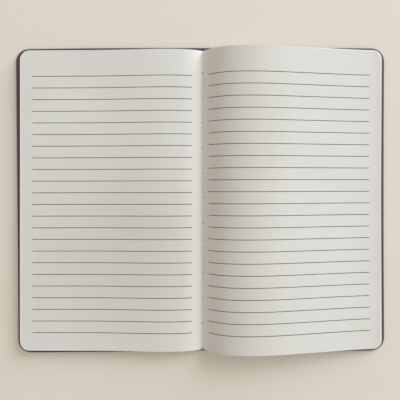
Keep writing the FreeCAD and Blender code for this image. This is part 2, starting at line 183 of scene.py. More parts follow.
class PageSettings(bpy.types.PropertyGroup):
    """Sizes and tones of the leaves and their printed ruling."""
    gutter: signed("Gutter", (THREAD_LOW[0] + THREAD_HIGH[0]) / 2, "Gutter to the right of the middle")
    floor_width: size("Gutter floor", 0.0010, "Flat floor between the two pages")
    floor_rise: size("Gutter rise", 0.0012, "Gutter floor above the underside of the leaves")
    root_spread: size("Spine half width", 0.0042, "Bottom leaf's root from the gutter")
    corner: size("Corner radius", 0.0060, "Round corners of the leaves")
    left_droop: size("Left droop", 0.0005, "Left page's outer head corner, lowered")
    right_lift: size("Right lift", 0.0007, "Right page's outer foot corner, raised")
    bow: size("Right fore edge bow", 0.0004, "Farther reach of the right page's corners")
    # Width of the painted highlight along the page's outer edges.
    border: size("Pale border", 0.0010, "Strip along the page's edges")
    left_reach: size("Left reach", 0.12214, "Top left leaf's fore edge from the middle")
    left_stack: size("Left stack", 0.0042, "Left leaves at the fore edge")
    left_swell_out: size("Left swell out", 0.0105, "Control point beside the gutter")
    left_swell_rise: size("Left swell rise", 0.0093, "Control point beside the gutter, height")
    left_slope_out: size("Left slope out", 0.0600, "Control point in the middle of the page")
    left_slope_rise: size("Left slope rise", 0.0034, "Control point in the middle of the page, height")
    left_curl_in: size("Left curl in", 0.0260, "Control point near the fore edge")
    left_curl_rise: size("Left curl rise", 0.0043, "Control point near the fore edge, height")
    right_reach: size("Right reach", 0.12365, "Top right leaf's fore edge from the middle")
    right_stack: size("Right stack", 0.0031, "Right leaves at the fore edge")
    right_swell_out: size("Right swell out", 0.0110, "Control point beside the gutter")
    right_swell_rise: size("Right swell rise", 0.0189, "Control point beside the gutter, height")
    right_slope_out: size("Right slope out", 0.0630, "Control point in the middle of the page")
    right_slope_rise: size("Right slope rise", 0.0119, "Control point in the middle of the page, height")
    right_curl_in: size("Right curl in", 0.0098, "Control point near the fore edge")
    right_curl_rise: size("Right curl rise", 0.0020, "Control point near the fore edge, height")
    leaves: IntProperty(name="Leaves", description="Leaves on each side", default=34, min=2, max=80)
    leaf_groove: size("Leaf groove", 0.00005, "Depth of the gap between two leaf edges")
    leaf_stagger: size("Leaf stagger", 0.00006, "How unevenly the leaves end")
    paper: tone("Paper", (0.690, 0.696, 0.686), "Paper")
    paper_shade: tone("Paper shade", (0.655, 0.655, 0.638), "Darker patches of the paper")
    # Colour of the painted shade: the left page's darker patch and the right page's strip by the gutter.
    paper_painted_shade: tone("Paper painted shade", (0.580, 0.553, 0.518), "Painted shade on the pages")
    # Painted highlight on the page's outer edges, also the painted light by the gutter on the left page.
    paper_highlight: tone("Paper highlight", (0.875, 0.855, 0.858), "Edges that catch the light")
    line_pitch: size("Ruling pitch", 0.0079375, "From one ruled line to the next")
    line_width: size("Ruling width", 0.00045, "Ruled line")
    line_film: size("Ruling film", 0.00002, "How far the ink stands on the paper")
    first_line: signed("First line", 0.08485, "First ruled line above the middle")
    line_offset: signed("Ruling offset", 0.00028, "Right ruling higher, left ruling lower")
    line_count: IntProperty(name="Ruled lines", description="Lines on each page", default=23, min=1, max=60)
    fore_margin: size("Fore margin", 0.0082, "End of a line to the fore edge")
    left_margin: size("Left gutter margin", 0.0077, "End of a line to the gutter, left")
    right_margin: size("Right gutter margin", 0.0057, "End of a line to the gutter, right")
    ink: tone("Ink", (0.095, 0.084, 0.068), "Printed ruling")


class CoverSettings(bpy.types.PropertyGroup):
    """Sizes and tones of the cover and its endpapers."""
    corner: size("Corner radius", 0.0088, "Round corners of the cover")
    rim: size("Rim radius", 0.0007, "Rounding along the cover's outer edges")
    front_out: size("Front corner out", 0.00045, "Farther reach of the front cover at its head")
    front_foot_out: size("Front foot corner out", 0.0003, "Farther reach of the front cover at its foot")
    back_out: size("Back edge out", 0.0002, "Farther reach of the back cover")
    back_foot_in: size("Back foot corner in", 0.0008, "Back cover drawn in at its foot corner")
    back_head_in: size("Back head corner in", 0.0004, "Back cover drawn in at its head corner")
    head_bow: size("Head bow", 0.00032, "Bow of the front cover's head edge")
    foot_trim: size("Foot trim", 0.0004, "Cover shorter at the foot")
    foot_dip: size("Foot dip", 0.0006, "Spine drawn in farther at the foot")
    dip_width: size("Foot dip width", 0.0120, "Half width of the strip that is drawn in")
    crease_depth: size("Crease depth", 0.00035, "Pressed line along each fold, outside")
    crease_width: size("Crease width", 0.0012, "Half width of the pressed line")
    bend_width: size("Bend width", 0.0030, "Strip beside the fold that bends")
    skin: tone("Skin", (0.108, 0.074, 0.115), "Grained skin")
    skin_deep: tone("Skin in the grain", (0.042, 0.028, 0.046), "Low places of the grain")
    endpaper: tone("Endpaper", (0.680, 0.665, 0.610), "Leaf glued inside the cover")


class ThreadSettings(bpy.types.PropertyGroup):
    """Sizes and tone of the sewing thread."""
    holes: IntProperty(name="Holes", description="Holes along the gutter", default=11, min=2, max=60)
    strand: size("Strand radius", 0.00017, "One of the two strands")
    twist: size("Twist length", 0.0016, "One turn of the strands")
    cotton: tone("Cotton", (0.960, 0.945, 0.885), "Thread")


class StageSettings(bpy.types.PropertyGroup):
    """Camera, lamp, sky and table top."""
    camera_height: size("Camera height", 0.300, "Camera above the floor")
    camera_up: signed("Camera offset", 0.0096, "Camera towards the head of the pages")
    pixels_across: number("Image width", 400.0, "Width of the image in pixels", high=10000.0)
    focal_pixels: number("Focal length", 432.4, "Focal length in pixels of the image", high=10000.0)
    nadir_pixel: number("Point under the camera", 186.0, "Its row in the image", high=10000.0)
    lamp_power: number("Lamp power", 101.0, "Soft lamp, upper right, in watts", high=1000.0)
    lamp_size: size("Lamp size", 2.2, "Side of the soft lamp")
    lamp_distance: size("Lamp distance", 3.0, "Soft lamp from the middle of the notebook")
    lamp_turn: angle("Lamp direction", 42.0, "From the right towards the head")
    lamp_rise: angle("Lamp height", 21.5, "Angle above the table")
    lamp_tone: tone("Lamp colour", (0.88, 0.965, 1.0), "Colour of the soft lamp")
    sky: number("Sky", 0.65, "Even light from all around")
    sky_tone: tone("Sky colour", (1.0, 0.922, 0.825), "Colour of the even light")
    floor: tone("Floor", (0.745, 0.705, 0.640), "Table top")


def pages():
    """Settings of the leaves and ruling."""
    return bpy.context.scene.notebook_pages


def cover():
    """Settings of the cover and endpapers."""
    return bpy.context.scene.notebook_cover


def thread():
    """Settings of the sewing thread."""
    return bpy.context.scene.notebook_thread


def stage():
    """Settings of the stage."""
    return bpy.context.scene.notebook_stage


def spline_points(control, t):
    """Clamped cubic B-spline with knots 0 0 0 0 1 2 2 2 2: the sum of each control point times
    its basis function, worked out by the Cox and de Boor rule, for t from 0 to 2."""
    knots = np.array([0, 0, 0, 0, 1, 2, 2, 2, 2], dtype=float)
    t = np.clip(t, 0.0, 2.0 - 1e-9)
    basis = [((knots[i] <= t) & (t < knots[i + 1])).astype(float) for i in range(8)]
    for degree in (1, 2, 3):
        step = []
        for i in range(8 - degree):
            rise = knots[i + degree] - knots[i]
            fall = knots[i + degree + 1] - knots[i + 1]
            left = (t - knots[i]) / rise * basis[i] if rise > 0 else 0.0
            right = (knots[i + degree + 1] - t) / fall * basis[i + 1] if fall > 0 else 0.0
            step.append(left + right)
        basis = step
    return np.stack(basis, axis=-1) @ np.asarray(control)


class Leaf:
    """One side's leaves in section. Along the top page runs the arc length from the gutter; a
    leaf between the bottom (share 0) and the top (share 1) lies at that share of the way from
    the flat bottom leaf to the top page's curve. The droop lowers the page's outer head corner and
    the lift raises its outer foot corner, both falling to nought at the gutter and the far edge.
    The bow pushes the right leaves' corners out, by the squares of the distances from the gutter
    and from the middle."""

    def __init__(self, side):
        sizes = pages()
        name = "left_" if side < 0 else "right_"
        keys = ("reach", "stack", "swell_out", "swell_rise", "slope_out", "slope_rise", "curl_in",
                "curl_rise")
        get = {key: getattr(sizes, name + key) for key in keys}
        gutter = side * sizes.gutter
        control = [
            (gutter + sizes.floor_width / 2, SEAT + sizes.floor_rise),
            (gutter + get["swell_out"], SEAT + get["swell_rise"]),
            (gutter + get["slope_out"], SEAT + get["slope_rise"]),
            (get["reach"] - get["curl_in"], SEAT + get["curl_rise"]),
            (get["reach"], SEAT + get["stack"]),
        ]
        self.side = side
        self.droop = sizes.left_droop if side < 0 else 0.0
        self.lift = sizes.right_lift if side > 0 else 0.0
        self.bow = sizes.bow if side > 0 else 0.0
        self.root = gutter + sizes.root_spread
        self.curve = spline_points(control, np.linspace(0.0, 2.0, CURVE_STEPS))
        steps = np.hypot(*np.diff(self.curve, axis=0).T)
        self.along = np.concatenate([[0.0], np.cumsum(steps)])
        self.length = self.along[-1]

    def place(self, a, y, share):
        """Points at arc length a, height on the page y and share of the stack."""
        across = np.interp(a, self.along, self.curve[:, 0])
        rise = np.interp(a, self.along, self.curve[:, 1])
        flat = self.root + (PAGE_HIGH[0] - self.root) * a / self.length
        x = flat + (across - flat) * share
        z = SEAT + (rise - SEAT) * share
        z = z + share * ripple(self.side * x, y) * np.clip(a / WAVE_START, 0.0, 1.0)
        lower = self.droop * (0.5 + y / PAGE_HEIGHT) - self.lift * (0.5 - y / PAGE_HEIGHT)
        x = x + self.bow * (a / self.length) ** 2 * (2 * y / PAGE_HEIGHT) ** 2
        y = y - lower * share * a / self.length
        return np.stack(np.broadcast_arrays(self.side * x, y, z), axis=-1)

    def direction(self, a, y, share):
        """Unit vector along the leaf, away from the gutter."""
        step = 0.0005
        ahead = self.place(np.clip(a + step, 0, self.length), y, share)
        behind = self.place(np.clip(a - step, 0, self.length), y, share)
        way = ahead - behind
        return way / np.maximum(np.linalg.norm(way, axis=-1, keepdims=True), TINY)


def ripple(x, y):
    """Slow waves of the paper: a sum of sines across and down the page, about a tenth of a
    millimetre high."""
    return WAVE_HEIGHT * sum(share * np.sin(across * x + down * y + start)
                             for share, across, down, start in WAVES)


def half_height(a, length, corner, height):
    """Half height of a leaf with round outer corners, at a distance from its root."""
    into = np.clip(a - (length - corner), 0.0, corner)
    return height / 2 - (corner - np.sqrt(np.maximum(corner ** 2 - into ** 2, 0.0)))


def spread_to_corner(length, corner, plain, round_steps):
    """Distances from the root: even up to the corner, then at equal angles round it."""
    straight = np.linspace(0.0, length - corner, plain)
    angle = np.linspace(0.0, math.pi / 2, round_steps + 1)[1:]
    return np.concatenate([straight, length - corner + corner * np.sin(angle)])


def grid_faces(rows, columns, wrap=False):
    """Quads of a grid of rows by columns, with the columns joined into a ring if wrap."""
    index = np.arange(rows * columns).reshape(rows, columns)
    if wrap:
        index = np.concatenate([index, index[:, :1]], axis=1)
    corners = [index[:-1, :-1], index[:-1, 1:], index[1:, 1:], index[1:, :-1]]
    return np.stack([part.ravel() for part in corners], axis=-1)


def edge_loop(grid):
    """Border of a grid of points, once round: first row, last column, last row back, first
    column back."""
    return np.concatenate([grid[0, :-1], grid[:-1, -1], grid[-1, :0:-1], grid[:0:-1, 0]])


def mesh_object(name, points, faces, material, smooth=True, marks=None, closed=True):
    """Mesh from arrays. Points that coincide are merged, open ends filled if it is to be closed,
    and the faces turned outwards. marks holds float attributes, one value per point."""
    mesh = bpy.data.meshes.new(name)
    faces = np.asarray(faces, dtype=np.int32)
    mesh.vertices.add(len(points))
    mesh.vertices.foreach_set("co", np.asarray(points, dtype=np.float32).ravel())
    mesh.loops.add(faces.size)
    mesh.loops.foreach_set("vertex_index", faces.ravel())
    mesh.polygons.add(len(faces))
    mesh.polygons.foreach_set("loop_start", np.arange(0, faces.size, faces.shape[1], dtype=np.int32))
    mesh.polygons.foreach_set("use_smooth", np.full(len(faces), smooth))
    for key, values in (marks or {}).items():
        mark = mesh.attributes.new(key, "FLOAT", "POINT")
        mark.data.foreach_set("value", np.asarray(values, dtype=np.float32).ravel())
    mesh.update(calc_edges=True)
    mesh.validate()
    weld(mesh, MERGE, closed)
    mesh.materials.append(material)
    piece = bpy.data.objects.new(name, mesh)
    bpy.context.scene.collection.objects.link(piece)
    return piece


def weld(mesh, distance, closed):
    """Merges points that coincide, drops what that leaves without area, fills open ends if the
    mesh is to be closed, and turns the faces outwards."""
    work = bmesh.new()
    work.from_mesh(mesh)
    bmesh.ops.remove_doubles(work, verts=work.verts, dist=distance)
    bmesh.ops.dissolve_degenerate(work, edges=work.edges, dist=distance)
    if closed:
        open_edges = [edge for edge in work.edges if edge.is_boundary]
        bmesh.ops.holes_fill(work, edges=open_edges, sides=0)
    bmesh.ops.recalc_face_normals(work, faces=work.faces)
    work.to_mesh(mesh)
    work.free()
    mesh.update()


def join_parts(parts):
    """One point array, one face array and one mark array from several (points, faces, mark)
    triples."""
    points, faces, marks = [], [], []
    start = 0
    for part_points, part_faces, mark in parts:
        flat = part_points.reshape(-1, 3)
        points.append(flat)
        faces.append(part_faces + start)
        marks.append(np.broadcast_to(np.ravel(mark), (len(flat),)))
        start += len(flat)
    return np.concatenate(points), np.concatenate(faces), np.concatenate(marks)


def close_shell(first, second, wall, first_on_top=False):
    """Closed surface of two sheets and the rings of points between their edges. Returns points,
    faces and a mark: 1 on the rings, 0 on the sheets and on the first and last ring."""
    faces = grid_faces(*first.shape[:2])
    back = faces[:, ::-1]
    pair = (faces, back) if first_on_top else (back, faces)
    mark = np.ones(wall.shape[:2])
    mark[[0, -1]] = 0.0
    return join_parts([(first, pair[0], 0.0), (second, pair[1], 0.0),
                       (wall, grid_faces(*wall.shape[:2], wrap=True), mark)])


# Shader nodes.

def fill(tree, item, inputs):
    """Sets a node's inputs; each is a value or another node's output. Returns the node."""
    for key, value in inputs.items():
        if isinstance(value, bpy.types.NodeSocket):
            tree.links.new(value, item.inputs[key])
        else:
            item.inputs[key].default_value = value
    return item


def add(tree, kind, inputs=None, **settings):
    """Shader node of a kind, with its settings and inputs."""
    item = tree.nodes.new("ShaderNode" + kind)
    for key, value in settings.items():
        setattr(item, key, value)
    return fill(tree, item, inputs or {})


def calculate(tree, operation, *values):
    """Math node on values or outputs. Returns its output."""
    return add(tree, "Math", dict(enumerate(values)), operation=operation).outputs[0]


def vector_maths(tree, operation, *values):
    """Vector math node on values or outputs. Returns the node."""
    return add(tree, "VectorMath", dict(enumerate(values)), operation=operation)


def noise(tree, place, scale, detail):
    """Noise node at a place. Its output 0 is a value."""
    return add(tree, "TexNoise", {"Vector": place, "Scale": scale, "Detail": detail})


def own_place(tree):
    """The object's own coordinates."""
    return add(tree, "TexCoord").outputs["Object"]


def mark_value(tree, name):
    """Value of a float attribute of the mesh."""
    return add(tree, "Attribute", attribute_name=name).outputs["Fac"]


def rgba(colour, share=1.0):
    """Colour times a share, with full alpha."""
    return tuple(value * share for value in colour) + (1.0,)


def mixed(tree, share, first, second):
    """Mix of two colours by a share. Returns the colour output."""
    return add(tree, "Mix", {0: share, 6: first, 7: second}, data_type="RGBA").outputs[2]


def ramp(tree, value, low, high, start=0.0, end=1.0):
    """Value moved from the range low to high onto start to end, and held there."""
    inputs = {"Value": value, "From Min": low, "From Max": high, "To Min": start, "To Max": end}
    return add(tree, "MapRange", inputs).outputs[0]


def new_group(name, inputs, output):
    """Empty node group with float sockets. Returns the group, the outputs that give its inputs,
    and its output node."""
    group = bpy.data.node_groups.new(name, "ShaderNodeTree")
    for key, default in inputs:
        socket = group.interface.new_socket(name=key, in_out="INPUT", socket_type="NodeSocketFloat")
        socket.default_value = default
    group.interface.new_socket(name=output, in_out="OUTPUT", socket_type="NodeSocketFloat")
    return group, group.nodes.new("NodeGroupInput").outputs, group.nodes.new("NodeGroupOutput")


def use_group(tree, group, **values):
    """Group placed in a material, with its named inputs set. Returns its output."""
    return add(tree, "Group", values, node_tree=group).outputs[0]


def mottling_group():
    """Cloudy patches, 0 to 1, from two sizes of noise on the object's own coordinates."""
    if "Cloudy patches" in bpy.data.node_groups:
        return bpy.data.node_groups["Cloudy patches"]
    inputs = [("Large", 20.0), ("Small", 300.0), ("Share", 0.4)]
    group, given, result = new_group("Cloudy patches", inputs, "Patches")
    place = own_place(group)
    large = noise(group, place, given["Large"], 3.0).outputs[0]
    small = noise(group, place, given["Small"], 4.0).outputs[0]
    mix = add(group, "Mix", {0: given["Share"], 2: large, 3: small}, data_type="FLOAT")
    fill(group, result, {0: ramp(group, mix.outputs[0], 0.3, 0.7)})
    return group


def fibre_group():
    """Short fibres lying all ways: the highest of three noises, each drawn out along its own
    line."""
    if "Short fibres" in bpy.data.node_groups:
        return bpy.data.node_groups["Short fibres"]
    group, given, result = new_group("Short fibres", [("Scale", 1500.0), ("Length", 6.0)], "Height")
    place = own_place(group)
    squeeze = calculate(group, "DIVIDE", 1.0, given["Length"])
    stretch = add(group, "CombineXYZ", {"X": 1.0, "Y": squeeze, "Z": 1.0}).outputs[0]
    heights = []
    for turn in (0.0, 1.05, 2.1):
        turned = add(group, "Mapping", {"Vector": place, "Rotation": (0.0, 0.0, turn)})
        drawn = vector_maths(group, "MULTIPLY", turned.outputs[0], stretch).outputs[0]
        heights.append(noise(group, drawn, given["Scale"], 2.0).outputs[0])
    highest = calculate(group, "MAXIMUM", heights[0], heights[1])
    fill(group, result, {0: calculate(group, "MAXIMUM", highest, heights[2])})
    return group


def new_material(name):
    """Material with a Principled BSDF. Returns the material, its tree and the shader."""
    material = bpy.data.materials.new(name)
    material.use_nodes = True
    return material, material.node_tree, material.node_tree.nodes["Principled BSDF"]


def bump(tree, height, distance, strength=1.0, under=None):
    """Bump from a height. Returns the normal output."""
    inputs = {"Height": height, "Distance": distance, "Strength": strength}
    if under is not None:
        inputs["Normal"] = under
    return add(tree, "Bump", inputs).outputs[0]


def paper_material():
    """Uncoated paper: cloudy tone, short fibres, cut edges a little darker and streaked along the leaves,
    painted shade in a patch of the left page and in a strip of the right page by the gutter, painted
    light in a strip of the left page by the gutter, a painted highlight along the outer edges, and
    dots of painted shade at the sewing holes."""
    sizes = pages()
    material, tree, shader = new_material("Paper")
    place = own_place(tree)
    patches = use_group(tree, mottling_group(), Large=28.0, Small=420.0, Share=0.45)
    colour = mixed(tree, patches, rgba(sizes.paper_shade), rgba(sizes.paper))
    # Painted shade: a darker patch on the left page and a darker strip beside the gutter on the right page.
    colour = mixed(tree, painted_shade_share(tree, place), colour, rgba(sizes.paper_painted_shade))
    # Painted light: the left page paler in a strip beside the gutter.
    colour = mixed(tree, painted_gutter_light(tree, place), colour, rgba(sizes.paper_highlight))
    # Painted highlight: a pale strip along the top page's outer edges.
    border = ramp(tree, mark_value(tree, "painted_edge_highlight"), 0.2, 0.8)
    colour = mixed(tree, border, colour, rgba(sizes.paper_highlight))
    height = calculate(tree, "MULTIPLY", mark_value(tree, "leaf_level"), 0.9 * sizes.leaves)
    along = vector_maths(tree, "MULTIPLY", place, (70.0, 70.0, 0.0)).outputs[0]
    up = add(tree, "CombineXYZ", {"Z": height}).outputs[0]
    layered = vector_maths(tree, "ADD", along, up).outputs[0]
    streak = ramp(tree, noise(tree, layered, 1.0, 2.0).outputs[0], 0.35, 0.65)
    cut_tone = mixed(tree, streak, CUT_DARK, CUT_PALE)
    colour = mixed(tree, mark_value(tree, "cut_edge"), colour, cut_tone)
    fibres = use_group(tree, fibre_group(), Scale=1400.0, Length=5.0)
    fill(tree, shader, {"Base Color": painted_hole_shade(tree, place, colour), "Roughness": 0.82,
                        "Specular IOR Level": 0.25, "Normal": bump(tree, fibres, 0.00002, 0.35)})
    return material


def painted_shade_share(tree, place):
    """Share of the painted shade on the paper: a wide soft darker patch on the lower left page, and a
    strip of the right page that rises beside the gutter and fades out towards the middle."""
    far = vector_maths(tree, "DISTANCE", place, SHADE_PATCH_PLACE).outputs["Value"]
    patch = ramp(tree, far, *SHADE_PATCH_REACH, 0.5, 0.0)
    across = add(tree, "SeparateXYZ", {0: place}).outputs[0]
    fading = ramp(tree, across, *SHADE_STRIP_REACH, 0.75, 0.0)
    rising = ramp(tree, across, pages().gutter, pages().gutter + SHADE_STRIP_RISE)
    return calculate(tree, "MAXIMUM", patch, calculate(tree, "MULTIPLY", fading, rising))


def painted_gutter_light(tree, place):
    """Share of the painted light: a paler strip of the left page that grows towards the gutter."""
    across = add(tree, "SeparateXYZ", {0: place}).outputs[0]
    gutter = pages().gutter
    growing = ramp(tree, across, gutter - GUTTER_LIGHT_REACH[0], gutter - GUTTER_LIGHT_REACH[1], 0.0, 0.5)
    before = ramp(tree, across, gutter, gutter + GUTTER_LIGHT_END, 1.0, 0.0)
    return calculate(tree, "MULTIPLY", growing, before)


def hole_pitch():
    """From one sewing hole to the next."""
    return (THREAD_HIGH[1] - THREAD_LOW[1]) / (thread().holes - 1)


def painted_hole_shade(tree, place, colour):
    """Colour with a small dot of painted shade at each sewing hole in the gutter."""
    pitch = hole_pitch()
    split = add(tree, "SeparateXYZ", {0: place})
    across = calculate(tree, "SUBTRACT", split.outputs[0], pages().gutter)
    from_foot = calculate(tree, "SUBTRACT", split.outputs[1], THREAD_LOW[1] - pitch / 2)
    cell = calculate(tree, "FLOORED_MODULO", from_foot, pitch)
    along = calculate(tree, "SUBTRACT", cell, pitch / 2)
    offset = add(tree, "CombineXYZ", {"X": across, "Y": along}).outputs[0]
    far = vector_maths(tree, "LENGTH", offset).outputs["Value"]
    return mixed(tree, ramp(tree, far, *HOLE_SHADE_REACH, 1.0, 0.0), colour, HOLE_SHADE_TONE)


def ink_material():
    """Grey-brown printed ink that thins out here and there."""
    ink = pages().ink
    material, tree, shader = new_material("Ruling ink")
    patches = use_group(tree, mottling_group(), Large=60.0, Small=1500.0, Share=0.6)
    fill(tree, shader, {"Base Color": mixed(tree, patches, rgba(ink), rgba(ink, 1.35)),
                        "Roughness": 0.75, "Specular IOR Level": 0.2})
    return material


def skin_material():
    """Grained leather-like skin: small uneven pebbles with dark valleys, and a painted highlight that
    makes the rim of the fore edges a little paler, in patches."""
    sizes = cover()
    material, tree, shader = new_material("Grained skin")
    place = own_place(tree)
    warp = noise(tree, place, 380.0, 2.0).outputs["Color"]
    shift = vector_maths(tree, "MULTIPLY", warp, (0.0011, 0.0011, 0.0011)).outputs[0]
    bent = vector_maths(tree, "ADD", place, shift).outputs[0]
    cells = add(tree, "TexVoronoi", {"Vector": bent, "Scale": 1100.0},
                feature="DISTANCE_TO_EDGE")
    pebble = ramp(tree, cells.outputs[0], 0.0, 0.32)
    colour = mixed(tree, pebble, rgba(sizes.skin_deep), rgba(sizes.skin))
    patches = use_group(tree, mottling_group(), Large=35.0, Small=260.0, Share=0.5)
    clouds = ramp(tree, patches, 0.0, 1.0, 0.0, 0.45)
    colour = mixed(tree, clouds, colour, rgba(sizes.skin, 1.25))
    across = add(tree, "SeparateXYZ", {0: place}).outputs[0]
    outward = ramp(tree, calculate(tree, "ABSOLUTE", across), *RIM_HIGHLIGHT_REACH)
    fore_rim = calculate(tree, "MULTIPLY", mark_value(tree, "rim"), outward)
    # Painted highlight: the rim along the fore edges paler, in patches.
    rim_highlight = calculate(tree, "MULTIPLY", fore_rim, ramp(tree, patches, 0.3, 0.9, 0.25, 0.75))
    creases = use_group(tree, fibre_group(), Scale=900.0, Length=3.0)
    coarse = bump(tree, creases, 0.00004, 0.4)
    fill(tree, shader, {"Base Color": mixed(tree, rim_highlight, colour, RIM_HIGHLIGHT_TONE),
                        "Roughness": ramp(tree, pebble, 0.0, 1.0, 0.62, 0.46),
                        "Specular IOR Level": 0.45,
                        "Normal": bump(tree, pebble, 0.00006, 0.7, coarse)})
    return material


def endpaper_material():
    """Heavier paper glued inside the cover: cloudy, with coarser fibres."""
    sheet = cover().endpaper
    material, tree, shader = new_material("Endpaper")
    patches = use_group(tree, mottling_group(), Large=18.0, Small=350.0, Share=0.5)
    fibres = use_group(tree, fibre_group(), Scale=1000.0, Length=4.0)
    fill(tree, shader, {"Base Color": mixed(tree, patches, rgba(sheet, 0.9), rgba(sheet)),
                        "Roughness": 0.8, "Specular IOR Level": 0.25,
                        "Normal": bump(tree, fibres, 0.00003, 0.4)})
    return material


def cloth_material():
    """Open plain-weave cloth: two sets of fine waves that cross."""
    material, tree, shader = new_material("Lining cloth")
    inputs = {"Vector": own_place(tree), "Scale": 650.0, "Distortion": 0.6, "Detail Scale": 0.5}
    waves = [add(tree, "TexWave", inputs, bands_direction=direction).outputs["Fac"]
             for direction in ("X", "Y")]
    weave = calculate(tree, "MULTIPLY", *waves)
    fill(tree, shader, {"Base Color": mixed(tree, weave, CLOTH_DARK, CLOTH_PALE),
                        "Roughness": 0.9, "Normal": bump(tree, weave, 0.00008, 0.6)})
    return material


def cotton_material():
    """Cotton thread: fine fuzz from noise, a tenth darker in places."""
    cotton = thread().cotton
    material, tree, shader = new_material("Cotton thread")
    fuzz = noise(tree, own_place(tree), 5200.0, 3.0).outputs[0]
    fine = ramp(tree, fuzz, 0.3, 0.7)
    fill(tree, shader, {"Base Color": mixed(tree, fine, rgba(cotton, 0.9), rgba(cotton)),
                        "Roughness": 0.85, "Sheen Weight": 0.2,
                        "Normal": bump(tree, fuzz, 0.00003, 0.6)})
    return material


def floor_material():
    """Smooth painted table top with a very faint cloudiness."""
    floor = stage().floor
    material, tree, shader = new_material("Table top")
    patches = use_group(tree, mottling_group(), Large=6.0, Small=90.0, Share=0.3)
    fill(tree, shader, {"Base Color": mixed(tree, patches, rgba(floor, 0.985), rgba(floor)),
                        "Roughness": 0.75, "Specular IOR Level": 0.2})
    return material


# Geometry of each piece.

def both_sides(left, right, left_values, right_values, plain_rows):
    """Grid of (side, a, y) over both pages, from the left fore edge over the gutter to the right
    one."""
    corner = pages().corner
    near = 2.0 * np.array(EDGE_ROWS) / PAGE_HEIGHT
    rows = np.sort(np.concatenate([np.linspace(-1.0, 1.0, plain_rows), near - 1.0, 1.0 - near]))
    left_half = half_height(left_values, left.length, corner, PAGE_HEIGHT)
    right_half = half_height(right_values, right.length, corner, PAGE_HEIGHT)
    along = np.concatenate([left_values[::-1], right_values])
    side = np.concatenate([-np.ones(len(left_values)), np.ones(len(right_values))])
    y = rows[:, None] * np.concatenate([left_half[::-1], right_half])
    return np.stack(np.broadcast_arrays(side, along, y), axis=-1)


def on_leaves(left, right, where, share):
    """Points of (side, a, y) on the leaf at that share of the stack."""
    side, a, y = where[..., 0], where[..., 1], where[..., 2]
    return np.where(side[..., None] < 0, left.place(a, y, share), right.place(a, y, share))


def make_pages():
    """Both stacks of leaves as one closed surface: the top page, the cut edges all round with one
    ridge per leaf, and the flat underside."""
    sizes = pages()
    left = Leaf(-1)
    right = Leaf(1)
    plain_rows, plain_columns, round_steps = PAGE_GRID
    columns = []
    for leaf in (left, right):
        values = spread_to_corner(leaf.length, sizes.corner, plain_columns, round_steps)
        columns.append(np.sort(np.concatenate([values, GUTTER_COLUMNS])))
    where = both_sides(left, right, *columns, plain_rows)
    top = on_leaves(left, right, where, 1.0)
    under = on_leaves(left, right, where, 0.0)
    border = edge_loop(where)
    flat = np.stack([border[:, 0] * border[:, 1], border[:, 2]], axis=-1)
    tangent = np.roll(flat, -1, axis=0) - np.roll(flat, 1, axis=0)
    tangent /= np.maximum(np.linalg.norm(tangent, axis=-1, keepdims=True), TINY)
    nought = np.zeros(len(tangent))
    upward = np.stack([nought, -tangent[:, 0], nought], axis=-1)
    side = border[:, :1]
    shares, depth = leaf_rows(sizes.leaves, sizes.leaf_groove, sizes.leaf_stagger)
    rows = []
    for share, out in zip(shares, depth):
        way = np.where(side < 0, left.direction(border[:, 1], border[:, 2], share),
                       right.direction(border[:, 1], border[:, 2], share))
        points = on_leaves(left, right, border, share)
        rows.append(points + out * tangent[:, 1:] * side * way + out * upward)
    wall = np.stack(rows)
    points, faces, mark = close_shell(top, under, wall, first_on_top=True)
    level = np.concatenate([np.ones(top[..., 0].size), np.zeros(under[..., 0].size),
                            np.repeat(shares, wall.shape[1])])
    marks = {"cut_edge": mark, "painted_edge_highlight": edge_highlight_mark(points), "leaf_level": level}
    piece = mesh_object("pages", points, faces, paper_material(), marks=marks)
    piece.data.set_sharp_from_angle(angle=math.radians(PAGE_SHARP))
    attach(piece, BOOK)
    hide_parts("page_block")
    return piece


def edge_highlight_mark(points):
    """Share of the painted highlight along the top page's outer edges: 1 on the outline of the top page
    and 0 a border's width inside it: one less the distance to a rectangle with round outer corners,
    over the width. It fades out towards the gutter."""
    sizes = pages()
    reach = np.where(points[:, 0] < 0, sizes.left_reach, sizes.right_reach)
    over_x = np.abs(points[:, 0]) - (reach - sizes.corner)
    over_y = np.abs(points[:, 1]) - (PAGE_HEIGHT / 2 - sizes.corner)
    outside = np.hypot(np.maximum(over_x, 0.0), np.maximum(over_y, 0.0))
    inside = np.minimum(np.maximum(over_x, over_y), 0.0)
    distance = sizes.corner - outside - inside
    away = np.clip((np.abs(points[:, 0]) / reach - HIGHLIGHT_START) / HIGHLIGHT_GROWTH, 0.0, 1.0)
    return np.clip(1.0 - distance / sizes.border, 0.0, 1.0) * away


def leaf_rows(count, groove, stagger):
    """Shares of the stack and how far out the wall stands there: each leaf is a flat ridge with
    its own small offset, and a groove lies between two leaves. The first and last are flush."""
    rng = np.random.default_rng(LEAF_SEED)
    offset = rng.uniform(-stagger, 0.0, count)
    offset[0] = 0.0
    offset[-1] = 0.0
    low = np.arange(count) / count
    wide = 1.0 / count
    flat_from, flat_to = LEAF_FLAT
    shares = np.stack([low + flat_from * wide, low + flat_to * wide, low + wide], axis=-1).ravel()
    depth = np.stack([offset, offset, np.full(count, -groove)], axis=-1).ravel()
    depth[-1] = 0.0
    return np.concatenate([[0.0], shares]), np.concatenate([[0.0], depth])


